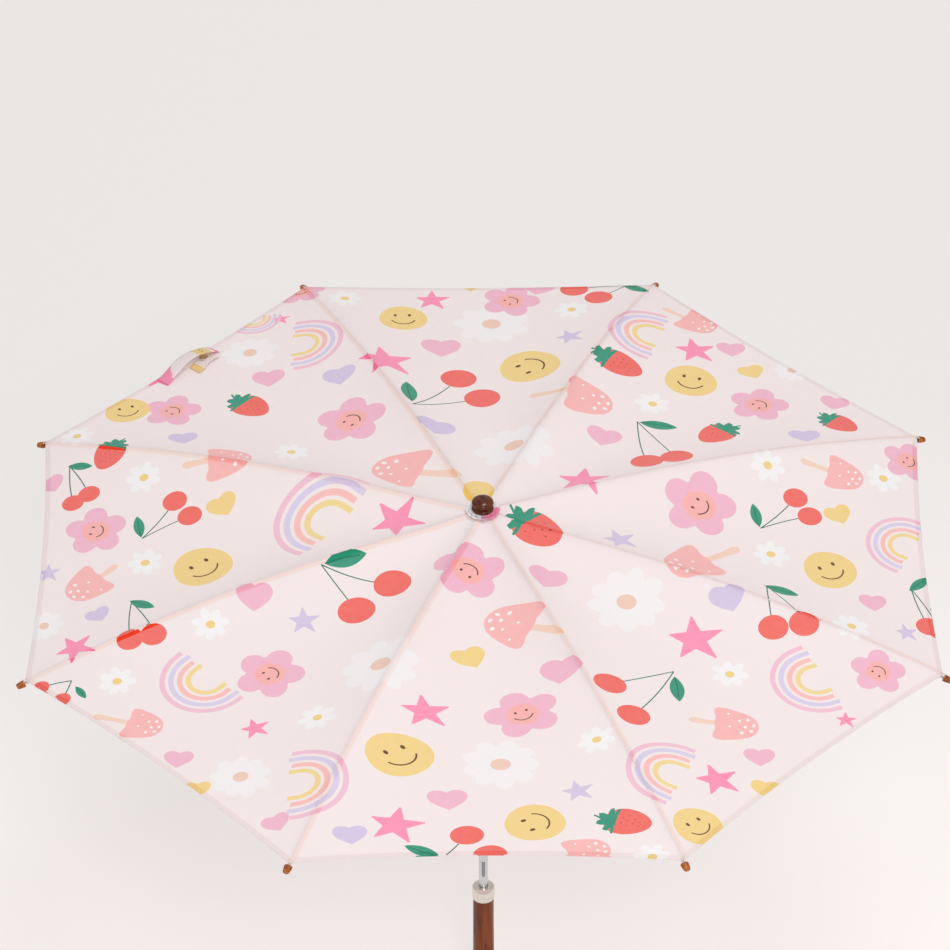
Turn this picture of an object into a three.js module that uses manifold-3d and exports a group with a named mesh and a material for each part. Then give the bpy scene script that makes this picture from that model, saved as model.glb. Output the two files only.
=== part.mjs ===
// A children's stick umbrella, open and upright, in millimetres with +Z up the shaft.
// The origin is on the shaft's axis, at the middle of the handle's straight grip.
// Eight ribs carry eight fabric panels. Each panel folds outward on its middle line
// when the umbrella closes, so it is built as two half panels that meet at that crease.
import * as THREE from 'three';
import { mergeVertices } from 'three/addons/utils/BufferGeometryUtils.js';
import Module from 'manifold-3d';

// ---- Driving dimensions -------------------------------------------------------------
const RIB_COUNT = 8;
const FIRST_RIB_AZIMUTH = -112.5;        // degrees; the others follow at equal steps
const GAP = 0.3;                         // clearance between touching pieces

const NOTCH_HEIGHT = 480;                // the ribs' hinge plane above the origin
const CANOPY_RADIUS = 400;               // shaft axis to the fabric's corners
const CANOPY_CROWN = 5;                  // fabric above the hinge plane at the shaft
const CANOPY_TIP = -43;                  // fabric corners below the hinge plane
const FABRIC = 0.8;                      // thickness of a half panel's solid
const FABRIC_ABOVE_RIB = 2.6;            // middle of the fabric above a rib's middle
const CANOPY_HOLE = 6;                   // radius of the hole round the shaft

const RIB_HINGE_RADIUS = 9;
const RIB_BOW = 15;                      // rise of a tensioned rib above its chord
const RIB_END_RADIUS = 405;
const RIB_DEPTH = 2.6;
const RIB_WIDTH = 2.4;
const EYE_RADIUS = 2.2;
const WIRE_RADIUS = 0.6;
const WIRE_HOLE = WIRE_RADIUS + 0.35;
const BRACKET_AT = 175;                  // along the rib's chord
const BRACKET_DROP = 3;                  // rivet below the rib's middle
const BRACKET_RADIUS = 2;
const RIVET_RADIUS = 0.8;
const RIVET_HOLE = RIVET_RADIUS + GAP;

const STRETCHER_LENGTH = 200;            // rivet to runner wire
const STRETCHER_WIDTH = 2.2;
const STRETCHER_DEPTH = 2.2;
const FORK_WIDTH = 4.8;
const FORK_SLOT = RIB_WIDTH + 2 * GAP;
const FORK_REACH = 3.8;                  // from the rivet to the fork's root

const SHAFT_RADIUS = 4;
const SHAFT_BORE = 3.3;
const SHAFT_TOP = 14;
const SHAFT_BOTTOM = -470;
const SLIDE_BORE = SHAFT_RADIUS + GAP;

const RUNNER_HINGE_RADIUS = 10;
const RUNNER_SLEEVE = 7.5;
const RUNNER_FLANGE = 12;
const RUNNER_TOP = 6;
const RUNNER_BOTTOM = -36.5;
const RUNNER_GRIP = 10;
const RUNNER_WINDOW = [-27, -14];        // the bottom catch comes out through this
const CLOSED_LEAN = 1.1;                 // degrees; ribs lean outward when closed

const CATCH_NOSE = 6.6;                  // reach of a catch's nose from the shaft's axis
const CATCH_LENGTH = 27;                 // nose face to pin
const CATCH_THICKNESS = 2;
const PIN_RADIUS = 0.8;

const COLLAR_TOP = -416;
const COLLAR_HEIGHT = 14;
const HANDLE_RADIUS = 9;
const GRIP_LENGTH = 100;
const CROOK_RADIUS = 30;
const CROOK_TAIL = 15;

// ---- Helpers ------------------------------------------------------------------------
const wasm = await Module();
wasm.setup();
const radians = THREE.MathUtils.degToRad;

// Merges a geometry's corners, drops slivers at poles and turns its faces outward.
function closed(source) {
  const bare = source.index ? source.toNonIndexed() : source.clone();
  bare.deleteAttribute('normal');
  bare.deleteAttribute('uv');
  const merged = mergeVertices(bare, 1e-4);
  const at = merged.getAttribute('position');
  const corners = [0, 1, 2].map(() => new THREE.Vector3());
  const faces = [];
  let volume = 0;
  for (let i = 0; i < merged.index.count; i += 3) {
    const face = [0, 1, 2].map((k) => merged.index.getX(i + k));
    if (new Set(face).size < 3) continue;
    face.forEach((v, k) => corners[k].fromBufferAttribute(at, v));
    volume += corners[0].dot(corners[1].clone().cross(corners[2]));
    faces.push(face);
  }
  const ordered = volume < 0 ? faces.map(([a, b, c]) => [a, c, b]) : faces;
  merged.setIndex(ordered.flat());
  merged.computeVertexNormals();
  return merged;
}

function toSolid(source) {
  const g = closed(source);
  const mesh = new wasm.Mesh({
    numProp: 3,
    vertProperties: new Float32Array(g.getAttribute('position').array),
    triVerts: new Uint32Array(g.index.array),
  });
  return new wasm.Manifold(mesh);
}

function fromSolid(solid) {
  const mesh = solid.getMesh();
  const g = new THREE.BufferGeometry();
  g.setAttribute('position', new THREE.BufferAttribute(new Float32Array(mesh.vertProperties), 3));
  g.setIndex([...mesh.triVerts]);
  return closed(g);
}

function cut(base, ...tools) {
  return fromSolid(tools.reduce((left, tool) => left.subtract(toSolid(tool)), toSolid(base)));
}

function join(first, ...others) {
  return fromSolid(others.reduce((sum, other) => sum.add(toSolid(other)), toSolid(first)));
}

// Turns a profile of [radius, height] pairs about Z.
function turned(profile, segments) {
  const lathe = new THREE.LatheGeometry(profile.map(([r, z]) => new THREE.Vector2(r, z)), segments);
  return lathe.rotateX(Math.PI / 2);
}

// Extrudes a shape drawn in the plane of radius and height by a width across that plane.
function plate(shape, width, curveSegments = 5) {
  const options = { depth: width, bevelEnabled: false, curveSegments };
  return new THREE.ExtrudeGeometry(shape, options).translate(0, 0, -width / 2).rotateX(Math.PI / 2);
}

function hole(x, y, radius, sides = 10) {
  return new THREE.Path(Array.from({ length: sides }, (_, k) => {
    const turn = (-2 * Math.PI * k) / sides;
    return new THREE.Vector2(x + radius * Math.cos(turn), y + radius * Math.sin(turn));
  }));
}

// A round bar along X, centred on the shaft's axis.
function crossBar(radius, length, height, segments = 10) {
  const bar = new THREE.CylinderGeometry(radius, radius, length, segments);
  return bar.rotateZ(Math.PI / 2).translate(0, 0, height);
}

// The wire ring that the eyes of the ribs or the stretchers are threaded on.
function ringWire(radius) {
  return new THREE.TorusGeometry(radius, WIRE_RADIUS, 5, 40);
}

// A box given by its lowest and highest corners.
function block(low, high) {
  const size = high.map((h, i) => h - low[i]);
  const middle = high.map((h, i) => (h + low[i]) / 2);
  return new THREE.BoxGeometry(...size).translate(...middle);
}

const group = new THREE.Group();
const crown = new THREE.Group();
crown.position.z = NOTCH_HEIGHT;
group.add(crown);

function add(parent, name, geometry, look) {
  const mesh = new THREE.Mesh(closed(geometry), new THREE.MeshStandardMaterial(look));
  mesh.name = name;
  parent.add(mesh);
  return mesh;
}

const STEEL = { color: 0xc4c6c8, roughness: 0.32, metalness: 1 };
const DARK_STEEL = { color: 0x8d9093, roughness: 0.4, metalness: 1 };
const PLASTIC = { color: 0xf1ece6, roughness: 0.45, metalness: 0 };
const CHESTNUT = { color: 0x4a2210, roughness: 0.25, metalness: 0 };
const BEAD_WOOD = { color: 0x9c5a2c, roughness: 0.45, metalness: 0 };
const CLOTH = { color: 0xf6e2df, roughness: 0.85, metalness: 0 };

// ---- The rib's line -----------------------------------------------------------------
// Chord coordinates: along the chord from the hinge, and above it. The chord ends where
// the fabric's corner is held, and the rib runs on a little way into its wooden tip.
const tipHeight = CANOPY_TIP - FABRIC_ABOVE_RIB;
const chordRun = CANOPY_RADIUS - RIB_HINGE_RADIUS;
const chordLength = Math.hypot(chordRun, tipHeight);
const chordSlope = Math.atan2(tipHeight, chordRun);
const bowRadius = ((chordLength / 2) ** 2 + RIB_BOW ** 2) / (2 * RIB_BOW);
const endAlong = (RIB_END_RADIUS - RIB_HINGE_RADIUS) / Math.cos(chordSlope);

function bow(along) {
  return Math.sqrt(bowRadius ** 2 - (along - chordLength / 2) ** 2) - (bowRadius - RIB_BOW);
}

// A point beside the rib's line, as [radius, height] from the shaft's axis.
function besideRib(along, above, slope = chordSlope) {
  const up = bow(along) + above;
  return [
    RIB_HINGE_RADIUS + along * Math.cos(slope) - up * Math.sin(slope),
    along * Math.sin(slope) + up * Math.cos(slope),
  ];
}

const bracketOpen = besideRib(BRACKET_AT, -BRACKET_DROP);
const bracketClosed = besideRib(BRACKET_AT, -BRACKET_DROP, radians(CLOSED_LEAN) - Math.PI / 2);

function runnerHeight([radius, height]) {
  return height - Math.sqrt(STRETCHER_LENGTH ** 2 - (radius - RUNNER_HINGE_RADIUS) ** 2);
}

const runnerOpen = runnerHeight(bracketOpen);
const runnerClosed = runnerHeight(bracketClosed);

// ---- Shaft, notch and ferrule -------------------------------------------------------
const topNose = runnerOpen + RUNNER_BOTTOM - 0.4;
const topPin = topNose - CATCH_LENGTH;
const bottomNose = runnerClosed + RUNNER_WINDOW[0] + 0.5;
const bottomPin = bottomNose + CATCH_LENGTH;
const stopPin = runnerOpen + RUNNER_TOP + 1.6;
const STOP_RADIUS = 1;
const NOTCH_PIN = -9;

function shaftTube() {
  const profile = [
    [SHAFT_BORE, SHAFT_BOTTOM], [SHAFT_RADIUS, SHAFT_BOTTOM],
    [SHAFT_RADIUS, SHAFT_TOP], [SHAFT_BORE, SHAFT_TOP], [SHAFT_BORE, SHAFT_BOTTOM],
  ];
  const slotHalf = CATCH_THICKNESS / 2 + GAP;
  const slot = (low, high) => block([-slotHalf, -5, low], [slotHalf, 0, high]);
  const pinHole = (height, radius) => crossBar(radius + GAP, 12, height);
  return cut(
    turned(profile, 32),
    slot(topNose - 15.5, topNose + 0.6),
    slot(bottomNose - 0.6, bottomNose + 15.5),
    pinHole(topPin, PIN_RADIUS),
    pinHole(bottomPin, PIN_RADIUS),
    pinHole(NOTCH_PIN, PIN_RADIUS),
    pinHole(stopPin, STOP_RADIUS),
  );
}

// Radial slots that the ribs or stretchers stand in, cut through a flange.
function flangeSlots(inner, outer, width, low, high) {
  return Array.from({ length: RIB_COUNT }, (_, i) => {
    const azimuth = radians(FIRST_RIB_AZIMUTH + (i * 360) / RIB_COUNT);
    return block([inner, -width / 2, low], [outer, width / 2, high]).rotateZ(azimuth);
  });
}

const NOTCH_SLEEVE = 6.2;
const NOTCH_FLANGE = 11;
const NOTCH_TOP = 2.5;
const FLANGE_UNDER = -4;
const GROOVE = WIRE_RADIUS + 0.35;       // half height of the groove round a flange

function topNotch() {
  const profile = [
    [SLIDE_BORE, -14], [NOTCH_SLEEVE, -14], [NOTCH_SLEEVE, FLANGE_UNDER],
    [NOTCH_FLANGE - 0.5, FLANGE_UNDER], [NOTCH_FLANGE, FLANGE_UNDER + 0.5],
    [NOTCH_FLANGE, -GROOVE], [RIB_HINGE_RADIUS - GROOVE, -GROOVE],
    [RIB_HINGE_RADIUS - GROOVE, GROOVE], [NOTCH_FLANGE, GROOVE],
    [NOTCH_FLANGE, NOTCH_TOP - 0.5], [NOTCH_FLANGE - 0.5, NOTCH_TOP],
    [SLIDE_BORE, NOTCH_TOP], [SLIDE_BORE, -14],
  ];
  const slots = flangeSlots(NOTCH_SLEEVE + 0.2, 14, RIB_WIDTH + 2 * GAP, FLANGE_UNDER - 1, NOTCH_TOP + 1);
  return cut(turned(profile, 32), ...slots, crossBar(PIN_RADIUS + GAP, 20, NOTCH_PIN));
}

function ferrule() {
  const base = 6.9;
  const middle = base + 7;
  const ball = [9.1, 4.2];
  const flat = 3;
  const profile = [
    [0, SHAFT_TOP + GAP], [SLIDE_BORE, SHAFT_TOP + GAP], [SLIDE_BORE, base],
    [8.4, base], [9.1, base + 0.7], [9.1, base + 2], [8.4, base + 2.6], [7.2, base + 3.1],
  ];
  const start = Math.acos(8 / ball[0]);
  const end = Math.acos(flat / ball[0]);
  for (let k = 0; k <= 8; k += 1) {
    const turn = -start + ((start + end) * k) / 8;
    profile.push([ball[0] * Math.cos(turn), middle + ball[1] * Math.sin(turn)]);
  }
  profile.push([0, middle + ball[1] * Math.sin(end)]);
  return turned(profile, 24);
}

function outerRosette() {
  return turned([
    [SLIDE_BORE + 0.1, 5.7], [10, 5.7], [14.2, 7.1], [14.4, 8.1], [9.6, 6.5],
    [SLIDE_BORE + 0.1, 6.5], [SLIDE_BORE + 0.1, 5.7],
  ], 24);
}

function innerRosette() {
  const low = NOTCH_TOP + GAP;
  const high = low + 1;
  const bore = SLIDE_BORE + 0.1;
  return turned([[bore, low], [9.5, low], [9.5, high], [bore, high], [bore, low]], 24);
}

// A spring catch beside the shaft's axis. sign is 1 with the flat face of the nose up.
function springCatch(nose, sign) {
  const outline = [
    [0.4, 0], [CATCH_NOSE, 0], [CATCH_NOSE, -2], [3, -14], [1.3, -20],
    [1.3, -CATCH_LENGTH - 1.8], [-1.3, -CATCH_LENGTH - 1.8],
    [-1.3, -CATCH_LENGTH + 4], [-0.8, -14],
  ].map(([x, z]) => new THREE.Vector2(x, nose + sign * z));
  const shape = new THREE.Shape(sign > 0 ? outline.reverse() : outline);
  shape.holes.push(hole(0, nose - sign * CATCH_LENGTH, PIN_RADIUS + 0.15));
  return plate(shape, CATCH_THICKNESS).rotateZ(-Math.PI / 2);
}

add(crown, 'shaft_tube', shaftTube(), STEEL);
add(crown, 'top_notch', topNotch(), PLASTIC);
add(crown, 'notch_wire', ringWire(RIB_HINGE_RADIUS), STEEL);
add(crown, 'notch_pin', crossBar(PIN_RADIUS, 2 * NOTCH_SLEEVE - 0.4, NOTCH_PIN), STEEL);
add(crown, 'stop_pin', crossBar(STOP_RADIUS, 12, stopPin), STEEL);
add(crown, 'ferrule', ferrule(), CHESTNUT);
add(crown, 'outer_rosette', outerRosette(), CLOTH);
add(crown, 'inner_rosette', innerRosette(), CLOTH);
add(crown, 'top_catch', springCatch(topNose, 1), DARK_STEEL);
add(crown, 'top_catch_pin', crossBar(PIN_RADIUS - 0.15, 2 * SHAFT_RADIUS - 0.4, topPin), STEEL);
add(crown, 'bottom_catch', springCatch(bottomNose, -1), DARK_STEEL);
add(crown, 'bottom_catch_pin', crossBar(PIN_RADIUS - 0.15, 2 * SHAFT_RADIUS - 0.4, bottomPin), STEEL);

// ---- Runner -------------------------------------------------------------------------
function runner() {
  const profile = [
    [SLIDE_BORE, RUNNER_BOTTOM], [RUNNER_GRIP - 0.6, RUNNER_BOTTOM],
    [RUNNER_GRIP, RUNNER_BOTTOM + 0.8], [RUNNER_GRIP, RUNNER_BOTTOM + 3.4],
    [RUNNER_SLEEVE, RUNNER_BOTTOM + 5.4], [RUNNER_SLEEVE, FLANGE_UNDER],
    [RUNNER_FLANGE - 0.5, FLANGE_UNDER], [RUNNER_FLANGE, FLANGE_UNDER + 0.5],
    [RUNNER_FLANGE, -GROOVE], [RUNNER_HINGE_RADIUS - GROOVE, -GROOVE],
    [RUNNER_HINGE_RADIUS - GROOVE, GROOVE], [RUNNER_FLANGE, GROOVE],
    [RUNNER_FLANGE, -FLANGE_UNDER - 0.5], [RUNNER_FLANGE - 0.5, -FLANGE_UNDER],
    [RUNNER_SLEEVE, -FLANGE_UNDER], [RUNNER_SLEEVE, RUNNER_TOP], [SLIDE_BORE, RUNNER_TOP],
    [SLIDE_BORE, RUNNER_BOTTOM],
  ];
  const slots = flangeSlots(RUNNER_SLEEVE + 0.2, 15, STRETCHER_WIDTH + 2 * GAP, FLANGE_UNDER - 1, 1 - FLANGE_UNDER);
  const half = CATCH_THICKNESS / 2 + 0.7;
  const window = block([-half, -12, RUNNER_WINDOW[0]], [half, 0, RUNNER_WINDOW[1]]);
  return cut(turned(profile, 32), ...slots, window);
}

const slider = new THREE.Group();
slider.position.z = runnerOpen;
crown.add(slider);
add(slider, 'runner', runner(), PLASTIC);
add(slider, 'runner_wire', ringWire(RUNNER_HINGE_RADIUS), STEEL);

// ---- Ribs, their wooden tips and the stretchers -------------------------------------
const RIB_STEPS = 10;

// Points along one edge of the rib, from one distance to another.
function ribEdge(from, to, above, steps) {
  return Array.from({ length: steps + 1 }, (_, k) => besideRib(from + ((to - from) * k) / steps, above));
}

function rib() {
  const half = RIB_DEPTH / 2;
  const eyeEnd = 1.6;                    // the eye's circle meets the bar here
  const taper = 7;                       // the end is thinned to enter the wooden tip
  const thin = 0.7;
  const ear = BRACKET_RADIUS + 1;
  const eye = Array.from({ length: 9 }, (_, k) => {
    const turn = radians(36) + (radians(288) * k) / 8;
    return [RIB_HINGE_RADIUS + EYE_RADIUS * Math.cos(turn), EYE_RADIUS * Math.sin(turn)];
  });
  const earArc = Array.from({ length: 7 }, (_, k) => {
    const turn = Math.PI + (Math.PI * k) / 6;
    const along = BRACKET_AT + BRACKET_RADIUS * Math.cos(turn);
    return besideRib(along, -BRACKET_DROP + BRACKET_RADIUS * Math.sin(turn));
  });
  const outline = [
    ...eye,
    ...ribEdge(eyeEnd + 2, BRACKET_AT - ear, -half, RIB_STEPS / 2),
    ...earArc,
    ...ribEdge(BRACKET_AT + ear, endAlong - taper, -half, RIB_STEPS / 2),
    besideRib(endAlong - taper + 2, -thin),
    besideRib(endAlong, -thin),
    besideRib(endAlong, thin),
    besideRib(endAlong - taper + 2, thin),
    ...ribEdge(endAlong - taper, eyeEnd + 2, half, RIB_STEPS),
  ].map(([r, z]) => new THREE.Vector2(r, z));
  const shape = new THREE.Shape(outline);
  shape.holes.push(hole(RIB_HINGE_RADIUS, 0, WIRE_HOLE));
  shape.holes.push(hole(...bracketOpen, RIVET_HOLE));
  return plate(shape, RIB_WIDTH);
}

const TIP_START = 1;                     // from the fabric's corner to the wooden tip
const TIP_LENGTH = 8;
const TIP_RADIUS = 3.5;
const TIP_FLATTENING = 0.72;

function ribTip() {
  const bore = 1.9;
  const depth = 5.6;
  const profile = [
    [0, depth], [bore, depth], [bore, 0], [TIP_RADIUS - 0.4, 0], [TIP_RADIUS, 0.6],
    [TIP_RADIUS, 3.8], [TIP_RADIUS - 0.9, 7], [TIP_RADIUS - 2.2, TIP_LENGTH], [0, TIP_LENGTH],
  ];
  const [nearRadius, nearHeight] = besideRib(chordLength + TIP_START, 0);
  const [farRadius, farHeight] = besideRib(endAlong, 0);
  const slope = Math.atan2(farHeight - nearHeight, farRadius - nearRadius);
  return turned(profile, 10)
    .rotateY(Math.PI / 2)
    .scale(1, 1, TIP_FLATTENING)
    .rotateY(-slope)
    .translate(nearRadius, 0, nearHeight);
}

// The bar, its fork and its rivet, from the rib's bracket to the runner's wire.
function stretcher() {
  const half = STRETCHER_DEPTH / 2;
  const eye = 2;
  const bar = new THREE.Shape();
  bar.moveTo(FORK_REACH, -half);
  bar.lineTo(STRETCHER_LENGTH - 1.8, -half);
  bar.absarc(STRETCHER_LENGTH, 0, eye, -Math.PI * 0.82, Math.PI * 0.82, false);
  bar.lineTo(FORK_REACH, half);
  bar.holes.push(hole(STRETCHER_LENGTH, 0, WIRE_HOLE));
  const fork = new THREE.Shape();
  fork.absarc(0, 0, BRACKET_RADIUS, Math.PI / 2, Math.PI * 1.5, false);
  fork.lineTo(FORK_REACH, -half);
  fork.lineTo(FORK_REACH + 6, -half);
  fork.lineTo(FORK_REACH + 6, half);
  fork.lineTo(FORK_REACH, half);
  const throat = block([-4, -FORK_SLOT / 2, -4], [FORK_REACH, FORK_SLOT / 2, 4]);
  const jaws = cut(plate(fork, FORK_WIDTH), throat);
  const rivet = new THREE.CylinderGeometry(RIVET_RADIUS, RIVET_RADIUS, FORK_WIDTH, 10);
  const [radius, height] = bracketOpen;
  const slope = Math.atan2(runnerOpen - height, RUNNER_HINGE_RADIUS - radius);
  return join(plate(bar, STRETCHER_WIDTH), jaws, rivet)
    .rotateY(-slope)
    .translate(radius, 0, height);
}

// ---- Canopy -------------------------------------------------------------------------
const HALF_ANGLE = Math.PI / RIB_COUNT;
const ALONG_STEPS = 10;
const ACROSS_STEPS = 2;
const SEAM_INSET = 0.2;

// Height of the fabric over a rib at a distance from the shaft's axis.
function ridgeHeight(radius) {
  const along = (radius - RIB_HINGE_RADIUS) / Math.cos(chordSlope);
  const flat = THREE.MathUtils.smoothstep(radius, CANOPY_HOLE, 60);
  const onRib = besideRib(Math.max(along, 0), FABRIC_ABOVE_RIB)[1];
  return THREE.MathUtils.lerp(CANOPY_CROWN, onRib, flat);
}

// Middle surface of a half panel beside a rib that lies along +X. side is 1 or -1.
function clothPoint(outward, across, side) {
  const radius = THREE.MathUtils.lerp(CANOPY_HOLE, CANOPY_RADIUS, outward);
  const crease = THREE.MathUtils.lerp(CANOPY_CROWN, CANOPY_TIP, outward);
  const width = radius * Math.sin(HALF_ANGLE);
  const away = THREE.MathUtils.lerp(SEAM_INSET, width - SEAM_INSET, across);
  const part = away / width;
  return new THREE.Vector3(
    radius - away * Math.sin(HALF_ANGLE),
    side * away * Math.cos(HALF_ANGLE),
    THREE.MathUtils.lerp(ridgeHeight(radius), crease, part),
  );
}

function halfPanel(side) {
  const rows = ALONG_STEPS + 1;
  const columns = ACROSS_STEPS + 1;
  const positions = [];
  for (const lift of [FABRIC / 2, -FABRIC / 2]) {
    for (let i = 0; i < rows; i += 1) {
      for (let j = 0; j < columns; j += 1) {
        const p = clothPoint(i / ALONG_STEPS, j / ACROSS_STEPS, side);
        positions.push(p.x, p.y, p.z + lift);
      }
    }
  }
  const top = (i, j) => i * columns + j;
  const bottom = (i, j) => top(i, j) + rows * columns;
  const faces = [];
  const quad = (a, b, c, d) => faces.push(a, b, c, a, c, d);
  for (let i = 0; i < ALONG_STEPS; i += 1) {
    for (let j = 0; j < ACROSS_STEPS; j += 1) {
      quad(top(i, j), top(i + 1, j), top(i + 1, j + 1), top(i, j + 1));
      quad(bottom(i, j), bottom(i, j + 1), bottom(i + 1, j + 1), bottom(i + 1, j));
    }
    quad(bottom(i, 0), bottom(i + 1, 0), top(i + 1, 0), top(i, 0));
    quad(top(i, ACROSS_STEPS), top(i + 1, ACROSS_STEPS), bottom(i + 1, ACROSS_STEPS), bottom(i, ACROSS_STEPS));
  }
  for (let j = 0; j < ACROSS_STEPS; j += 1) {
    quad(bottom(0, j + 1), bottom(0, j), top(0, j), top(0, j + 1));
    quad(bottom(ALONG_STEPS, j), bottom(ALONG_STEPS, j + 1), top(ALONG_STEPS, j + 1), top(ALONG_STEPS, j));
  }
  const g = new THREE.BufferGeometry();
  g.setAttribute('position', new THREE.Float32BufferAttribute(positions, 3));
  g.setIndex(faces);
  return g;
}

for (let i = 0; i < RIB_COUNT; i += 1) {
  const arm = new THREE.Group();
  arm.rotation.z = radians(FIRST_RIB_AZIMUTH + (i * 360) / RIB_COUNT);
  crown.add(arm);
  add(arm, `rib_${i + 1}`, rib(), STEEL);
  add(arm, `rib_tip_${i + 1}`, ribTip(), BEAD_WOOD);
  add(arm, `stretcher_${i + 1}`, stretcher(), STEEL);
  add(arm, `canopy_${i + 1}a`, halfPanel(-1), CLOTH);
  add(arm, `canopy_${i + 1}b`, halfPanel(1), CLOTH);
}

// ---- Closing strap, sewn to the outside of one panel across the end of its crease ----
const STRAP_RIB = 6;
const STRAP_LENGTH = 50;
const STRAP_WIDTH = 13;
const STRAP_THICKNESS = 1.2;
const STRAP_FROM_HEM = 16;               // hem to the strap's middle, on the crease
const STRAP_LIFT = 1.8;                  // the panels rise a little to both sides of it

function onStrapPanel() {
  const arm = new THREE.Group();
  arm.rotation.z = radians(FIRST_RIB_AZIMUTH + ((STRAP_RIB - 1) * 360) / RIB_COUNT);
  crown.add(arm);
  const outward = 1 - STRAP_FROM_HEM / (CANOPY_RADIUS - CANOPY_HOLE) / Math.cos(HALF_ANGLE);
  const at = clothPoint(outward, 1, 1);
  const side = clothPoint(outward, 0.9, 1).sub(at).setZ(0).normalize();
  const out = clothPoint(outward + 0.02, 1, 1).sub(at).normalize();
  const up = new THREE.Vector3().crossVectors(out, side).normalize();
  if (up.z < 0) up.negate();
  const seat = new THREE.Group();
  const forward = new THREE.Vector3().crossVectors(up, side).normalize();
  seat.matrixAutoUpdate = false;
  seat.matrix.makeBasis(side, forward, up).setPosition(at.addScaledVector(up, STRAP_LIFT));
  arm.add(seat);
  return seat;
}

const seat = onStrapPanel();
add(seat, 'closure_strap', block(
  [-STRAP_LENGTH / 2, -STRAP_WIDTH / 2, 0],
  [STRAP_LENGTH / 2, STRAP_WIDTH / 2, STRAP_THICKNESS],
), CLOTH);
const SNAP_RADIUS = 4;
const snap = new THREE.CylinderGeometry(SNAP_RADIUS, SNAP_RADIUS, 1.4, 16).rotateX(Math.PI / 2);
add(seat, 'strap_snap', snap.translate(STRAP_LENGTH / 2 - 9, 0, STRAP_THICKNESS + GAP + 0.7), STEEL);

// ---- Handle -------------------------------------------------------------------------
// The crook's line: straight down, half a turn, and a short straight tail.
class CrookLine extends THREE.Curve {
  getPoint(t) {
    const arc = Math.PI * CROOK_RADIUS;
    const s = t * (GRIP_LENGTH + arc + CROOK_TAIL);
    const foot = -GRIP_LENGTH / 2;
    if (s <= GRIP_LENGTH) return new THREE.Vector3(0, 0, GRIP_LENGTH / 2 - s);
    if (s >= GRIP_LENGTH + arc) {
      return new THREE.Vector3(2 * CROOK_RADIUS, 0, foot + s - GRIP_LENGTH - arc);
    }
    const turn = (s - GRIP_LENGTH) / CROOK_RADIUS;
    return new THREE.Vector3(CROOK_RADIUS * (1 - Math.cos(turn)), 0, foot - CROOK_RADIUS * Math.sin(turn));
  }
}

function handle() {
  const sides = 12;
  const section = new THREE.Shape(Array.from({ length: sides }, (_, k) => {
    const turn = (2 * Math.PI * (k + 0.5)) / sides;
    return new THREE.Vector2(HANDLE_RADIUS * Math.cos(turn), HANDLE_RADIUS * Math.sin(turn));
  }));
  const bar = new THREE.ExtrudeGeometry(section, { steps: 30, extrudePath: new CrookLine() });
  const knob = new THREE.SphereGeometry(HANDLE_RADIUS, 12, 8)
    .rotateX(Math.PI / 2)
    .translate(2 * CROOK_RADIUS, 0, CROOK_TAIL - GRIP_LENGTH / 2);
  const bore = new THREE.CylinderGeometry(SLIDE_BORE, SLIDE_BORE, 60, 16)
    .rotateX(Math.PI / 2)
    .translate(0, 0, NOTCH_HEIGHT + SHAFT_BOTTOM - GAP + 30);
  return cut(join(bar, knob), bore);
}

function handleCollar() {
  const low = COLLAR_TOP - COLLAR_HEIGHT + GAP;
  const radius = HANDLE_RADIUS + 0.8;
  return turned([
    [SLIDE_BORE, low], [radius - 0.4, low], [radius, low + 0.6], [radius, COLLAR_TOP - 2.5],
    [radius - 0.5, COLLAR_TOP - 1.4], [radius - 2.6, COLLAR_TOP], [SLIDE_BORE, COLLAR_TOP],
    [SLIDE_BORE, low],
  ], 24);
}

add(group, 'handle', handle(), CHESTNUT);
add(crown, 'handle_collar', handleCollar(), STEEL);

export default group;
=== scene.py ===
"""Looks of a children's stick umbrella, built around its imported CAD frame.

Lengths in the tables and helpers below are millimetres; meshes are made in metres.
Heights of the canopy, notch and ferrule are above the plane of the ribs' hinges.
Lights and the camera are placed in metres.
"""

import math

import bpy
import numpy as np
from mathutils import Euler, Matrix, Vector, geometry


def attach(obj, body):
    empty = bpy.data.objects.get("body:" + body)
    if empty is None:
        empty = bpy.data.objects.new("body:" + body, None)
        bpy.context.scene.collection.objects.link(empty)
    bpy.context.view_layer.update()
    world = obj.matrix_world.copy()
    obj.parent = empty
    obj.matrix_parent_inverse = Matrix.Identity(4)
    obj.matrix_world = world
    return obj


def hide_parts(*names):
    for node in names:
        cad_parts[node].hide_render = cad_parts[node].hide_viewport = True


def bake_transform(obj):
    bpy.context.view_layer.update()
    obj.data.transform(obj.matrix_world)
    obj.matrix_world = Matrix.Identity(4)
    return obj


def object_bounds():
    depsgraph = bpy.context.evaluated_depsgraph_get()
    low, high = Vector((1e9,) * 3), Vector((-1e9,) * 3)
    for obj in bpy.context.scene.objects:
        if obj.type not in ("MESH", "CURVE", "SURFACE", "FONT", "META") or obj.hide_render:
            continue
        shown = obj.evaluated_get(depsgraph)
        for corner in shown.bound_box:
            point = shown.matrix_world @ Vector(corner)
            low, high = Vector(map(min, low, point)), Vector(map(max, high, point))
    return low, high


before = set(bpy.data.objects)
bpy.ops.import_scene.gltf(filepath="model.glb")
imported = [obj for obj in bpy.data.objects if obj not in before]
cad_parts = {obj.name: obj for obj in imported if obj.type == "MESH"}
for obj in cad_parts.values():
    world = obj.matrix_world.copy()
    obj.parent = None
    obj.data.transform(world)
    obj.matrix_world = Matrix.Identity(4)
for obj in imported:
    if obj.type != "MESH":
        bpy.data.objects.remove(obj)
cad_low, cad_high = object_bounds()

MM = 0.001
RIB_COUNT = 8
FIRST_RIB_AZIMUTH = -112.5
HALF_ANGLE = math.pi / RIB_COUNT
SIN_HALF, COS_HALF, TAN_HALF = math.sin(HALF_ANGLE), math.cos(HALF_ANGLE), math.tan(HALF_ANGLE)
NOTCH_HEIGHT = 480

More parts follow.
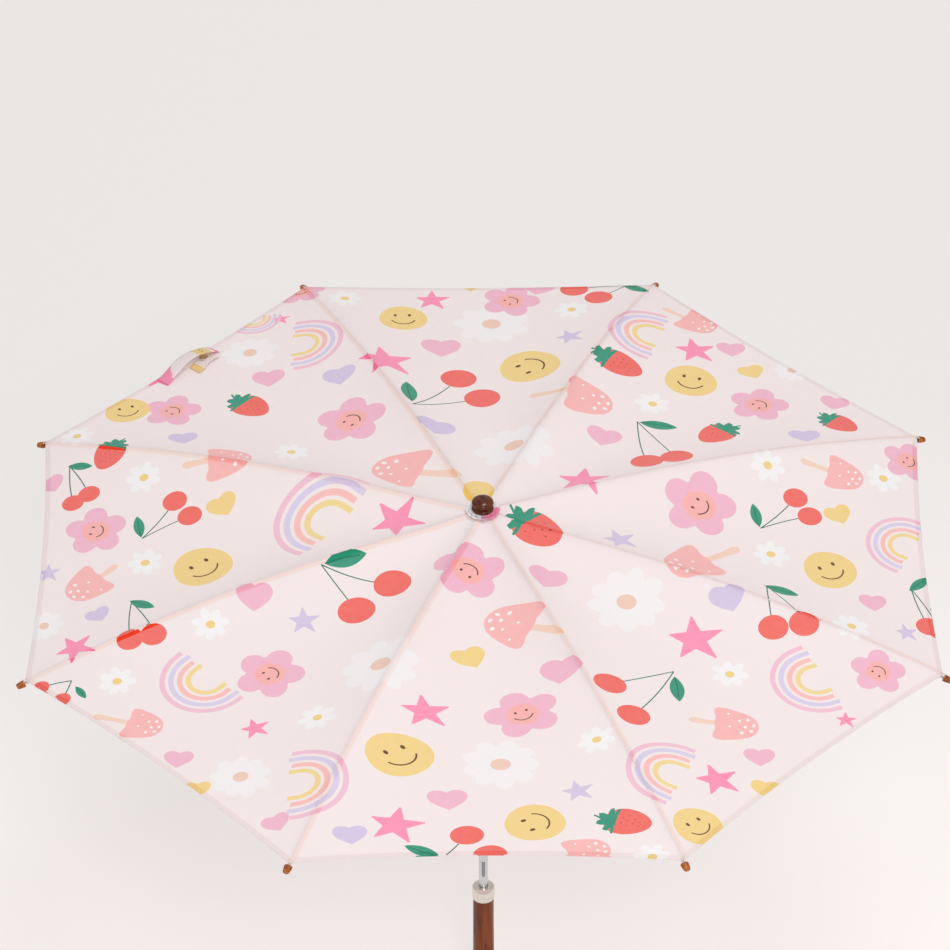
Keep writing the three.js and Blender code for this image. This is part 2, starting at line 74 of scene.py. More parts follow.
CANOPY_HOLE = 6
CANOPY_RADIUS = 400
CANOPY_CROWN = 5
CROWN_BLEND = 60
CANOPY_CORNER = -43
CREASE_START = -3
CREASE_END = -42
HEM_DIP = 6
FABRIC_ABOVE_RIB = 2.6
RIB_HINGE_RADIUS = 9
RIB_BOW = 15
RIB_END_RADIUS = 405

# ---- Shape of the ribs and of the cloth stretched over them --------------------------
CHORD_RUN = CANOPY_RADIUS - RIB_HINGE_RADIUS
CHORD_DROP = CANOPY_CORNER - FABRIC_ABOVE_RIB
CHORD_LENGTH = math.hypot(CHORD_RUN, CHORD_DROP)
CHORD_SLOPE = math.atan2(CHORD_DROP, CHORD_RUN)
BOW_RADIUS = ((CHORD_LENGTH / 2) ** 2 + RIB_BOW**2) / (2 * RIB_BOW)


def beside_rib(along, above):
    """A point beside a rib's line as (radius, height)."""
    bow = np.sqrt(BOW_RADIUS**2 - (along - CHORD_LENGTH / 2) ** 2) - (BOW_RADIUS - RIB_BOW)
    up = bow + above
    c, s = math.cos(CHORD_SLOPE), math.sin(CHORD_SLOPE)
    return RIB_HINGE_RADIUS + along * c - up * s, along * s + up * c


def smoothstep(x, low, high):
    t = np.clip((x - low) / (high - low), 0, 1)
    return t * t * (3 - 2 * t)


def ridge_height(row):
    along = np.maximum((row - RIB_HINGE_RADIUS) / math.cos(CHORD_SLOPE), 0)
    on_rib = beside_rib(along, FABRIC_ABOVE_RIB)[1]
    return CANOPY_CROWN + (on_rib - CANOPY_CROWN) * smoothstep(row, CANOPY_HOLE, CROWN_BLEND)


def cloth_height(x, y):
    """Height of the cloth, x along the nearest rib and y beside it."""
    row = x + y * TAN_HALF
    to_crease = 1 - (y / COS_HALF) / (row * SIN_HALF)
    outward = (row - CANOPY_HOLE) / (CANOPY_RADIUS - CANOPY_HOLE)
    crease = CREASE_START + (CREASE_END - CREASE_START) * outward
    crease = crease + (CANOPY_CROWN - CREASE_START) * (1 - outward) ** 3
    return crease + (ridge_height(row) - crease) * to_crease**2


def hem_row(across):
    """Row of the hem, from a rib (0) to the crease (1): it is drawn in between the corners."""
    return CANOPY_RADIUS - HEM_DIP * (1 - (1 - across) ** 2)


def rib_frame(row, across):
    """A row and a share of the way to the crease as x along the rib and y beside it."""
    away = across * row * SIN_HALF
    return row - away * SIN_HALF, away * COS_HALF


def rib_turn(number):
    return math.radians(FIRST_RIB_AZIMUTH + 360 / RIB_COUNT * (number - 1))


# ---- Print: motifs as polygons in plan, in painting order ----------------------------
SRGB = {
    "cloth": (245, 234, 233), "hot_pink": (254, 154, 188), "petal": (243, 189, 209),
    "coral": (249, 184, 180), "coral_rim": (246, 187, 198), "yellow": (244, 214, 145),
    "red": (243, 118, 110), "leaf": (66, 156, 128), "stem": (48, 120, 98),
    "lilac": (216, 203, 230), "cap": (250, 189, 187), "stalk": (247, 213, 195),
    "white": (247, 244, 245), "pale_white": (246, 241, 242), "peach": (241, 207, 190),
    "gold": (243, 214, 146), "brown": (112, 82, 60), "arc_pink": (244, 198, 216),
    "arc_lilac": (220, 211, 236), "arc_coral": (251, 196, 192), "arc_yellow": (245, 219, 156),
    "seed": (176, 62, 60), "calyx": (66, 156, 130),
}
FRONT = (60, 240)
PANEL_EDGE = (-15, 25)
SIDE_STRETCH, FRONT_SQUEEZE, MIDDLE_SQUEEZE = 0.13, 0.1, 0.14
PRINT = []


def paint(colour, points):
    area = sum(a[0] * b[1] - a[1] * b[0] for a, b in zip(points, points[1:] + points[:1]))
    PRINT.append((colour, points if area > 0 else points[::-1]))


def placed(points, centre, turn=0.0, size=1.0):
    """Points drawn upright about (0, 0), turned by degrees, scaled and moved to the centre.

    Motifs are printed flatter towards the front hem, most of all in the middle panel,
    and taller in the panels at both sides.
    """
    c, s = math.cos(math.radians(turn)) * size, math.sin(math.radians(turn)) * size
    wide, deep = abs(centre[0]), -centre[1]
    in_middle = smoothstep(deep * TAN_HALF - wide, *PANEL_EDGE)
    at_side = smoothstep(wide * TAN_HALF - abs(deep), *PANEL_EDGE)
    squeeze = smoothstep(deep, *FRONT) * (FRONT_SQUEEZE + MIDDLE_SQUEEZE * in_middle)
    tall = 1 + float(SIDE_STRETCH * at_side - squeeze)
    return [(centre[0] + x * c - y * s, centre[1] + (x * s + y * c) * tall) for x, y in points]


def print_at(x, y):
    """The colour of the print at a point in plan."""
    for colour, points, (x0, y0, x1, y1) in reversed(BOXED):
        if not (x0 < x < x1 and y0 < y < y1):
            continue
        inside = False
        for (ax, ay), (bx, by) in zip(points, points[1:] + points[:1]):
            if (ay > y) != (by > y) and x < ax + (bx - ax) * (y - ay) / (by - ay):
                inside = not inside
        if inside:
            return colour
    return "cloth"


def polar(radius_at, sides):
    turns = [2 * math.pi * k / sides for k in range(sides)]
    return [(radius_at(t) * math.cos(t), radius_at(t) * math.sin(t)) for t in turns]


def oval(width, height, sides=20, at=(0, 0), turn=0.0):
    ring = [(width / 2 * x, height / 2 * y) for x, y in polar(lambda t: 1, sides)]
    return placed(ring, at, turn)


def band(radius, thickness, start, end, steps=14, at=(0, 0)):
    """A part of a ring between two angles in degrees."""
    turns = [math.radians(start + (end - start) * k / steps) for k in range(steps + 1)]
    outer, inner = radius + thickness / 2, radius - thickness / 2
    there = [(at[0] + outer * math.cos(t), at[1] + outer * math.sin(t)) for t in turns]
    back = [(at[0] + inner * math.cos(t), at[1] + inner * math.sin(t)) for t in turns[::-1]]
    return there + back


def stroke(points, thickness):
    """A line through points as a polygon of even thickness."""
    left, right = [], []
    for k, (x, y) in enumerate(points):
        before, after = points[max(k - 1, 0)], points[min(k + 1, len(points) - 1)]
        dx, dy = after[0] - before[0], after[1] - before[1]
        n = thickness / 2 / math.hypot(dx, dy)
        left.append((x - dy * n, y + dx * n))
        right.append((x + dy * n, y - dx * n))
    return left + right[::-1]


def smile(centre, size, turn, line=0.03):
    for x in (-0.15, 0.15):
        paint("brown", placed(oval(0.07, 0.1, 10, (x, 0.13)), centre, turn, size))
    paint("brown", placed(band(0.27, line, 204, 336, at=(0, 0.03)), centre, turn, size))


def flower(centre, size, turn):
    lobes = polar(lambda t: 0.31 + 0.19 * abs(math.cos(2.5 * (t - math.pi / 2))) ** 0.75, 70)
    paint("petal", placed(lobes, centre, turn, size))
    for k in range(16):
        ray = math.radians(22.5 * k + 3 * (k % 3))
        reach = 0.235 + 0.03 * (k % 2)
        spoke = [(0, 0), (reach * math.cos(ray), reach * math.sin(ray))]
        paint("coral_rim", placed(stroke(spoke, 0.05), centre, turn, size))
    paint("coral", placed(oval(0.42, 0.42, 24), centre, turn, size))
    smile(centre, size * 0.5, turn, 0.036)


def smiley(centre, size, turn):
    disc = polar(lambda t: 0.5 + 0.012 * math.cos(3 * t + 1), 36)
    paint("yellow", placed(disc, centre, turn, size))
    smile(centre, size * 0.98, turn)


def daisy(centre, size, middle, petals):
    """Separate petals of uneven length round a soft middle."""
    first = 17 * (centre[0] + centre[1])
    tone = "pale_white" if petals > 8 else "white"
    for k in range(petals):
        turn = math.radians(first + 360 * k / petals)
        long = 0.38 + 0.05 * math.sin(5 * k + first)
        at = (0.3 * math.cos(turn), 0.3 * math.sin(turn))
        petal = oval(long, 0.25, 16, at, math.degrees(turn) + 6 * math.sin(3 * k))
        paint(tone, placed(petal, centre, 0, size))
    paint(tone, placed(oval(0.42, 0.42, 12), centre, 0, size))
    paint(middle, placed(oval(0.25, 0.23, 16), centre, 0, size))


def star(colour, centre, size, turn):
    """Five points with blunt tips and slightly uneven lengths."""
    points = []
    for k in range(10):
        t = math.pi / 2 + k * (math.pi / 5)
        if k % 2:
            points.append((0.215 * math.cos(t), 0.215 * math.sin(t)))
        else:
            far = 0.5 + 0.05 * math.sin(k * 2.4)
            points += [(far * math.cos(t + d), far * math.sin(t + d)) for d in (-0.03, 0.03)]
    paint(colour, placed(points, centre, turn, size))


def heart(colour, centre, size, turn):
    outline = []
    for k in range(32):
        t = 2 * math.pi * k / 32
        x = 17 * math.copysign(abs(math.sin(t)) ** 2.1, math.sin(t))
        y = 14 * math.cos(t) - 3.6 * math.cos(2 * t) - 1.6 * math.cos(3 * t) - 0.6 * math.cos(4 * t)
        outline.append((x / 33, (y + 1) / 33))
    paint(colour, placed(outline, centre, turn, size))


def mushroom(cap, end, size):
    """A bell-shaped cap with pale dots on a short stalk."""
    turn = math.degrees(math.atan2(end[1] - cap[1], end[0] - cap[0])) + 90
    length = math.hypot(end[0] - cap[0], end[1] - cap[1]) / size
    side = [(0.075, 0), (0.06, -0.6 * length), (0.085, -length + 0.06), (0.04, -length - 0.02)]
    stalk = [(-x, y) for x, y in side][::-1] + side
    paint("stalk", placed(stalk, cap, turn, size))
    half = [(0.0, -0.37), (0.18, -0.35), (0.33, -0.39), (0.43, -0.385), (0.48, -0.31), (0.475, -0.18),
            (0.43, 0.0), (0.38, 0.17), (0.3, 0.33), (0.2, 0.42), (0.08, 0.47)]
    bell = half + [(-x, y) for x, y in half[1:]][::-1]
    paint("cap", placed(bell, cap, turn, size))
    for x, y, wide, tall in ((-0.2, 0.26, 0.09, 0.07), (-0.05, 0.38, 0.1, 0.06), (0.12, 0.34, 0.07, 0.09),
                             (0.02, 0.22, 0.08, 0.06), (0.2, 0.16, 0.09, 0.07), (-0.15, 0.1, 0.07, 0.05),
                             (0.05, -0.08, 0.05, 0.06), (-0.32, -0.12, 0.06, 0.04)):
        paint("white", placed(oval(wide, tall, 10, (x, y), 40 * x), cap, turn, size))


def leaf(centre, length, turn):
    outline = [(x, 0.19 * math.sin(math.pi * (x + 0.5)) ** 0.8 * side)
               for side in (1, -1)
               for x in [side * (0.5 - k / 10) for k in range(10)]]
    paint("leaf", placed(outline, centre, turn, length))
    paint("stem", placed(stroke([(-0.5, 0), (0, 0.02), (0.34, 0)], 0.03), centre, turn, length))


def cherries(fruit, size, node, leaf_at):
    """Two cherries on bowed stems that meet at a node, with a leaf beside it."""
    for x, y in fruit:
        dx, dy = node[0] - x, node[1] - y
        reach = math.hypot(dx, dy)
        bend = 0.025 * reach * (1 if (x, y) == fruit[0] else -1)
        foot = size * 0.42 / reach
        path = []
        for k in range(9):
            t = foot + (1 - foot) * k / 8
            bulge = bend * math.sin(math.pi * t)
            path.append((x + dx * t - dy / reach * bulge, y + dy * t + dx / reach * bulge))
        paint("stem", stroke(path, 0.95))
    for x, y in fruit:
        paint("red", placed(polar(lambda t: 0.5 + 0.02 * math.cos(2 * t), 28), (x, y), 20, size))
    turn = math.degrees(math.atan2(leaf_at[1] - node[1], leaf_at[0] - node[0]))
    leaf(leaf_at, size * 1.2, turn)


def strawberry(body, calyx, size):
    """A plump berry with dark seeds under a ragged crown of leaves."""
    turn = math.degrees(math.atan2(calyx[1] - body[1], calyx[0] - body[0])) - 90
    outline = []
    for k in range(32):
        t = 2 * math.pi * k / 32
        taper = 1 - 0.34 * (1 - math.cos(t)) / 2
        outline.append((0.44 * math.sin(t) * taper, 0.46 * math.cos(t) - 0.06))
    paint("red", placed(outline, body, turn, size))
    for k in range(19):
        y = 0.16 - 0.11 * (k // 4)
        x = (k % 4 - 1.5) * 0.17 * (1 - 0.09 * (k // 4)) + 0.06 * ((k // 4) % 2) - 0.03
        if abs(x) < 0.34 * (0.6 + y):
            paint("seed", placed(oval(0.018, 0.04, 6, (x, y), 10 * (k % 3) - 10), body, turn, size))
    crown = []
    for k in range(25):
        t = math.radians(-36 + 252 * k / 24)
        r = (0.2, 0.34, 0.37 + 0.05 * math.sin(2 * k), 0.3)[k % 4]
        crown.append((r * math.cos(t) * 1.1, 0.33 + r * math.sin(t) * 0.62 - 0.12 * abs(math.cos(t))))
    paint("calyx", placed(crown, body, turn, size))
    paint("calyx", placed(stroke([(0, 0.34), (0.03, 0.46), (0.1, 0.6)], 0.045), body, turn, size))


def arch(radius, thickness, opening, leg, centre):
    """A band of a rainbow: half a ring with straight legs towards its open side."""
    line = []
    for k in range(27):
        t = math.radians(90 + 180 * k / 26)
        line.append((radius * math.cos(t), radius * math.sin(t)))
    line = [(leg, radius)] + line + [(leg * 0.9, -radius)]
    return placed(stroke(line, thickness), centre, opening)


def rainbow(centre, radius, opening):
    for k, colour in enumerate(("arc_pink", "arc_lilac", "arc_coral", "arc_yellow")):
        middle = radius * (0.94 - 0.185 * k)
        leg = radius * (0.16 + 0.06 * (k % 2))
        paint(colour, arch(middle, radius * 0.115, opening, leg, centre))


for x, y, size in ((12, -271, 66), (-83, -175, 66), (116, -93, 66), (27, 97, 66), (10, 304, 66),
                   (-193, -277, 50), (-199, 268, 48), (268, 244, 32), (-358, -89, 32)):
    daisy((x, y), size, "peach", 9)
for x, y in ((88, -255), (-133, -222), (197, -167), (239, 84), (337, 90), (237, -20), (298, -112),
             (146, 179), (80, 324), (-160, 107), (-283, 85), (-278, -20), (-221, -114),
             (-295, -165), (-118, 345), (-343, 156), (129, -367)):
    daisy((x, y), 31, "gold", 7)
for x, y, size, turn in ((30, -220, 62, 20), (-12, -67, 60, 140), (180, 32, 62, 60),
                         (237, 187, 52, 130), (317, -158, 46, 140), (-172, -165, 57, 120),
                         (-110, 150, 60, 140), (27, 342, 52, 125), (-263, 185, 50, 130),
                         (-321, 27, 52, 75), (360, 117, 44, 60), (-157, 362, 44, 0)):
    flower((x, y), size, turn)
for x, y, size, turn in ((-68, -265, 55, 34), (38, -332, 48, 120), (165, -335, 39, 42),
                         (285, -35, 44, 30), (180, 218, 45, -10), (42, 229, 52, 125),
                         (-67, 311, 42, 5), (-302, 191, 38, 15), (-230, -35, 49, 34)):
    smiley((x, y), size, turn)
for x, y, size, turn in ((-48, -219, 42, 8), (-71, -334, 46, -10), (170, -131, 47, 5),
                         (182, -285, 37, 20), (288, -211, 18, 0), (-71, 0, 46, 36),
                         (83, 52, 46, -8), (185, 265, 37, 10), (-82, 228, 50, 12),
                         (-42, 344, 32, 0), (-174, 317, 18, 0), (-183, -225, 25, 15),
                         (-331, -125, 34, 30), (-277, 238, 28, 0)):
    star("hot_pink", (x, y), size, turn)
for x, y, size in ((72, -302, 27), (112, -22, 30), (77, 274, 26), (-146, -110, 27),
                   (343, -108, 20), (-358, -22, 20)):
    star("lilac", (x, y), size, x % 30)
for x, y, size in ((61, -182, 30), (-30, -307, 28), (217, -256, 22), (-243, -252, 21),
                   (-164, -329, 20), (52, -72, 28), (103, 125, 26), (318, -73, 20),
                   (217, 272, 22), (302, 197, 22), (-34, 264, 30), (52, 365, 25),
                   (-182, 227, 25), (-186, -88, 26), (-362, 95, 20)):
    heart("petal", (x, y), size * 1.12, x % 50 - 15)
for x, y, size in ((-12, -158, 25), (296, 39, 20), (220, -290, 20), (233, 239, 20),
                   (-216, 42, 22), (-227, -286, 18), (-8, 369, 18)):
    heart("yellow", (x, y), size * 1.15, y % 50 - 15)
for x, y, size in ((-106, -344, 24), (198, -92, 26), (273, 135, 24), (-38, 125, 28),
                   (-121, 215, 25), (-252, 136, 22), (-314, -84, 18)):
    heart("lilac", (x, y), size * 1.12, y % 40 - 10)
paint("yellow", oval(26, 36, 16, (-3, 29)))
for cap, end, size in (((23, -125), (63, -147), 50), ((-68, 72), (-18, 50), 52),
                       ((170, -50), (210, -20), 50), ((198, -223), (163, -220), 42),
                       ((303, 87), (268, 95), 36), ((90, 170), (42, 177), 46),
                       ((189, 310), (160, 328), 38), ((-213, 90), (-250, 90), 44),
                       ((-325, -43), (-302, -23), 40), ((-273, -213), (-312, -198), 36),
                       ((78, -362), (50, -372), 40)):
    mushroom(cap, end, size)
for fruit, size, node, leaf_at in (
    (((100, -194), (118, -226)), 26, (152, -167), (154, -187)),
    (((-74, -74), (-103, -101)), 30, (-132, -59), (-112, -52)),
    (((-15, -344), (3, -364)), 26, (-35, -368), (-50, -360)),
    (((261, 53), (272, 33)), 20, (230, 13), (227, 28)),
    (((234, -120), (259, -116)), 24, (231, -71), (243, -74)),
    (((138, 85), (163, 92)), 27, (132, 151), (150, 148)),
    (((-19, 213), (1, 182)), 30, (-58, 154), (-61, 177)),
    (((83, 361), (104, 345)), 24, (129, 368), (137, 362)),
    (((-256, 53), (-243, 34)), 20, (-282, 12), (-285, 27)),
    (((-342, 66), (-329, 75)), 18, (-347, 114), (-338, 112)),
    (((-286, -125), (-267, -122)), 21, (-287, -73), (-278, -79)),
    (((362, -96), (372, -100)), 20, (351, -50), (358, -43)),
    (((-357, -163), (-339, -178)), 14, (-332, -160), (-324, -173)),
):
    cherries(fruit, size, node, leaf_at)
for body, calyx, size in (((43, -15), (28, -3), 50), ((108, -334), (92, -330), 42),
                          ((117, 229), (100, 237), 44), ((200, 137), (210, 147), 40),
                          ((303, 163), (290, 173), 36), ((-198, 187), (-209, 197), 40),
                          ((-313, 122), (-305, 140), 36)):
    strawberry(body, calyx, size)
for x, y, radius, opening in ((-127, 9, 46, -39), (-147, -293, 40, 180), (148, -285, 38, -20),
                              (-223, -168, 38, 45), (266, -170, 37, 25), (350, 5, 33, -25),
                              (148, 280, 38, -15), (-155, 271, 37, 180), (-197, 322, 24, 90)):
    rainbow((x, y), radius, opening)
# Every motif with the corners of the box round it.
BOXED = [(colour, points, (*map(min, zip(*points)), *map(max, zip(*points))))
         for colour, points in PRINT]


# ---- Materials -----------------------------------------------------------------------
def linear(srgb):
    """An 8-bit colour as linear values with full opacity."""
    return tuple(c / 12.92 if c <= 0.04045 else ((c + 0.055) / 1.055) ** 2.4
                 for c in (v / 255 for v in srgb)) + (1.0,)


class Nodes:
    """A material's node tree with short ways to add what these materials use."""

    def __init__(self, name, **sockets):
        self.material = bpy.data.materials.new(name)
        self.material.use_nodes = True
        self.tree = self.material.node_tree
        self.shader = self.tree.nodes["Principled BSDF"]
        for key, value in sockets.items():
            self.shader.inputs[key.replace("_", " ")].default_value = value

    def add(self, kind, inputs=(), **settings):
        node = self.tree.nodes.new(kind)
        for key, value in settings.items():
            setattr(node, key, value)
        for key, value in dict(inputs).items():
            if isinstance(value, bpy.types.NodeSocket):
                self.tree.links.new(value, node.inputs[key])
            else:
                node.inputs[key].default_value = value
        return node

    def link(self, source, socket):
        self.tree.links.new(source, self.shader.inputs[socket])

    def math(self, operation, a, b=0.0):
        return self.add("ShaderNodeMath", {0: a, 1: b}, operation=operation).outputs[0]

    def noise(self, scale, vector=None, detail=3.0, roughness=0.5):
        inputs = {"Scale": scale, "Detail": detail, "Roughness": roughness}
        if vector is not None:
            inputs["Vector"] = vector
        return self.add("ShaderNodeTexNoise", inputs).outputs["Fac"]

    def place(self, scale=(1, 1, 1)):
        where = self.add("ShaderNodeTexCoord").outputs["Object"]
        return self.add("ShaderNodeMapping", {"Vector": where, "Scale": scale}).outputs[0]

    def range(self, value, low, high, to_low, to_high):
        return self.add("ShaderNodeMapRange", {
            "Value": value, "From Min": low, "From Max": high, "To Min": to_low, "To Max": to_high,
        }).outputs[0]

    def ramp(self, fac, *stops):
        node = self.add("ShaderNodeValToRGB", {"Fac": fac})
        elements = node.color_ramp.elements
        while len(elements) < len(stops):
            elements.new(0.5)
        for element, (at, colour) in zip(elements, stops):
            element.position, element.color = at, linear(colour)
        return node.outputs[0]

    def bump(self, height, strength, distance):
        node = self.add("ShaderNodeBump", {
            "Height": height, "Strength": strength, "Distance": distance,
        })
        self.link(node.outputs[0], "Normal")


# Distances in from a seam or the hem over which the edge of each layer fades out.
SEAM_LINE, SEAM_ALLOWANCE, HEM_ALLOWANCE = (0.3, 0.8), (3.9, 4.3), (3.5, 4.0)
STITCH_ROW, STITCH_WIDTH, STITCH_RATE = 3.0, (0.2, 0.4), 2500
LAYER_TINT = (0.02, -0.035, -0.075)
THREAD_SCALE, THREAD_RATE = 2400, 5.2


def cloth_material(name, printed):
    """Fine plain-weave cloth whose colour is its print, deeper and warmer where layers overlap."""
    n = Nodes(name, Roughness=0.62, Sheen_Weight=0.16, Sheen_Roughness=0.45,
              Specular_IOR_Level=0.25)
    colour = n.add("ShaderNodeAttribute", attribute_name="print").outputs["Color"]
    layers = 0.0
    weave = n.add("ShaderNodeTexCoord").outputs["Object"]
    if printed:
        edges = n.add("ShaderNodeAttribute", attribute_name="edges").outputs["Vector"]
        weave = n.add("ShaderNodeAttribute", attribute_name="weave").outputs["Vector"]
        from_seam, from_hem, allowance = n.add("ShaderNodeSeparateXYZ", {0: edges}).outputs
        seam_line = n.range(from_seam, *SEAM_LINE, 1, 0)
        seam_layer = n.math("MULTIPLY", n.range(from_seam, *SEAM_ALLOWANCE, 1, 0), allowance)
        hem_layer = n.range(from_hem, *HEM_ALLOWANCE, 1, 0)
        along = n.add("ShaderNodeSeparateXYZ", {0: weave}).outputs[0]
        wave = n.math("SINE", n.math("MULTIPLY", along, STITCH_RATE))
        dash = n.math("GREATER_THAN", wave, -0.3)
        row = n.math("ABSOLUTE", n.math("SUBTRACT", from_hem, STITCH_ROW))
        stitch = n.math("MULTIPLY", n.range(row, *STITCH_WIDTH, 1, 0), dash)
        layers = n.math("MAXIMUM", seam_layer, n.math("MULTIPLY", hem_layer, 0.15))
        layers = n.math("ADD", layers, seam_line)
        layers = n.math("ADD", layers, n.math("MULTIPLY", stitch, 0.6))
        warmer = n.add("ShaderNodeVectorMath", {0: layers, 1: LAYER_TINT, 2: (1, 1, 1)},
                       operation="MULTIPLY_ADD")
        colour = n.add("ShaderNodeVectorMath", {0: colour, 1: warmer.outputs[0]},
                       operation="MULTIPLY").outputs[0]
    mottle = n.range(n.noise(38, detail=4), 0.3, 0.7, 1.06, 0.97)
    depth = n.math("ADD", n.math("MULTIPLY", layers, 0.07), mottle)
    deeper = n.add("ShaderNodeGamma", {"Color": colour, "Gamma": depth}).outputs[0]
    richer = n.math("ADD", n.math("MULTIPLY", layers, 0.16), 1.0)
    deeper = n.add("ShaderNodeHueSaturation", {"Color": deeper, "Saturation": richer}).outputs[0]
    n.link(deeper, "Base Color")
    threads = n.add("ShaderNodeMapping", {"Vector": weave, "Scale": (THREAD_SCALE,) * 3})
    crossed = n.add("ShaderNodeSeparateXYZ", {0: threads.outputs[0]}).outputs
    warp = n.math("SINE", n.math("MULTIPLY", crossed[0], THREAD_RATE))
    weft = n.math("SINE", n.math("MULTIPLY", crossed[1], THREAD_RATE))
    grid = n.math("MULTIPLY", warp, weft)
    slub = n.noise(900, detail=2)
    soft = n.math("MULTIPLY", n.noise(26, detail=2), 3.0)
    height = n.math("ADD", n.math("MULTIPLY", grid, 0.5), n.math("ADD", slub, soft))
    n.bump(height, 0.14, 0.0003)
    n.link(n.range(n.noise(60), 0.35, 0.65, 0.56, 0.68), "Roughness")
    glow = n.add("ShaderNodeBsdfTranslucent", {"Color": deeper})
    mix = n.add("ShaderNodeMixShader", {0: 0.15, 1: n.shader.outputs[0], 2: glow.outputs[0]})
    n.tree.links.new(mix.outputs[0], n.tree.nodes["Material Output"].inputs["Surface"])
    return n.material


def steel_material(name, tone, roughness, stretch=(1, 1, 0.03)):
    n = Nodes(name, Metallic=1.0, Base_Color=linear(tone), Roughness=roughness)
    streaks = n.noise(2600, n.place(stretch), 3)
    patches = n.noise(70, detail=4)
    light = tuple(min(c + 16, 255) for c in tone)
    n.link(n.ramp(patches, (0.3, tone), (0.7, light)), "Base Color")
    n.link(n.range(patches, 0.3, 0.7, roughness - 0.05, roughness + 0.08), "Roughness")
    n.bump(streaks, 0.08, 0.0001)
    return n.material


def wood_material(name, dark, light, grain, roughness, coat):
    n = Nodes(name, Roughness=roughness, Coat_Weight=coat, Coat_Roughness=0.03,
              Specular_IOR_Level=0.06)
    where = n.place((1, 1, 0.07))
    fibres = n.noise(grain, where, 6, 0.6)
    rings = n.noise(grain * 0.18, where, 2)
    both = n.math("ADD", n.math("MULTIPLY", fibres, 0.6), n.math("MULTIPLY", rings, 0.4))
    n.link(n.ramp(both, (0.38, dark), (0.6, light)), "Base Color")
    n.link(n.range(fibres, 0.3, 0.7, roughness + 0.08, roughness - 0.04), "Roughness")
    n.bump(fibres, 0.15, 0.0001)
    return n.material


def plastic_material(name, tone):
    n = Nodes(name, Roughness=0.42, Specular_IOR_Level=0.45)
    shade = tuple(c - 9 for c in tone)
    n.link(n.ramp(n.noise(90, detail=4), (0.3, shade), (0.7, tone)), "Base Color")
    n.link(n.range(n.noise(400), 0.3, 0.7, 0.36, 0.5), "Roughness")
    n.bump(n.noise(1500, detail=2), 0.06, 0.0001)
    return n.material


CLOTH = cloth_material("canopy_cloth", True)
TRIM = cloth_material("trim_cloth", False)
STEEL = steel_material("shaft_steel", (200, 202, 205), 0.24)
RIB_STEEL = steel_material("rib_steel", (192, 194, 198), 0.3, (0.05, 0.05, 1))
WIRE = steel_material("wire_steel", (205, 206, 208), 0.3, (1, 1, 1))
SPRING = steel_material("spring_steel", (140, 144, 150), 0.36, (1, 1, 0.1))
COLLAR = steel_material("collar_metal", (214, 210, 202), 0.2, (1, 1, 1))
SNAP = steel_material("snap_metal", (216, 214, 210), 0.22, (1, 1, 1))
FERRULE = wood_material("ferrule_wood", (60, 19, 3), (110, 48, 12), 420, 0.24, 0.7)
HANDLE = wood_material("handle_wood", (74, 31, 12), (132, 66, 30), 360, 0.3, 0.35)
BEAD = wood_material("tip_wood", (122, 60, 24), (190, 112, 56), 700, 0.42, 0.2)
PLASTIC = plastic_material("runner_plastic", (244, 238, 231))
THREAD = plastic_material("sewing_thread", (243, 226, 222))


# ---- Mesh helpers --------------------------------------------------------------------
def mesh_object(name, points, faces, material, sharp=40, lift=0.0):
    """A smooth-shaded mesh from points in millimetres, raised by lift."""
    mesh = bpy.data.meshes.new(name)
    mesh.from_pydata([(x * MM, y * MM, (z + lift) * MM) for x, y, z in points], [], faces)
    mesh.shade_smooth()
    mesh.set_sharp_from_angle(angle=math.radians(sharp))
    mesh.materials.append(material)
    obj = bpy.data.objects.new(name, mesh)
    bpy.context.scene.collection.objects.link(obj)
    return obj


def coloured(obj, colours):
    """Stores one print colour for each face, or one for the whole mesh."""
    mesh = obj.data
    if isinstance(colours, str):
        colours = [colours] * len(mesh.polygons)
    values = {c: linear(SRGB[c]) for c in set(colours)}
    layer = mesh.color_attributes.new("print", "FLOAT_COLOR", "CORNER")
    flat = np.empty((len(mesh.loops), 4), np.float32)
    for polygon, colour in zip(mesh.polygons, colours):
        flat[polygon.loop_start:polygon.loop_start + polygon.loop_total] = values[colour]
    layer.data.foreach_set("color", flat.ravel())
    return obj


def grid_faces(rows, columns, closed=False):
    """Quads between rows of points; closed joins each row's last point to its first."""
    faces = []
    for i in range(rows - 1):
        for j in range(columns if closed else columns - 1):
            a, b = i * columns + j, i * columns + (j + 1) % columns
            faces.append((a, b, b + columns, a + columns))
    return faces


def lathe(name, profile, segments, material, sharp):
    """Turns (radius, height) pairs, listed from the bottom up, about Z and closes both ends."""
    points = []
    for r, z in profile:
        for k in range(segments):
            t = 2 * math.pi * k / segments
            points.append((r * math.cos(t), r * math.sin(t), z))
    faces = grid_faces(len(profile), segments, True)
    faces.append(tuple(range(segments))[::-1])
    faces.append(tuple(range(len(points) - segments, len(points))))
    return mesh_object(name, points, faces, material, sharp, NOTCH_HEIGHT)


def rounded(profile, steps=3, share=0.3):
    """Rounds the corners of a polyline of (radius, height) pairs."""
    out = [profile[0]]
    for before, at, after in zip(profile, profile[1:], profile[2:]):
        for k in range(steps + 1):
            t = k / steps
            a = [at[i] + (before[i] - at[i]) * share for i in (0, 1)]
            b = [at[i] + (after[i] - at[i]) * share for i in (0, 1)]
            out.append(tuple((1 - t) ** 2 * a[i] + 2 * t * (1 - t) * at[i] + t * t * b[i]
                             for i in (0, 1)))
    return out + [profile[-1]]


def turned_about_z(points, angle):
    c, s = math.cos(angle), math.sin(angle)
    return [(x * c - y * s, x * s + y * c, z) for x, y, z in points]


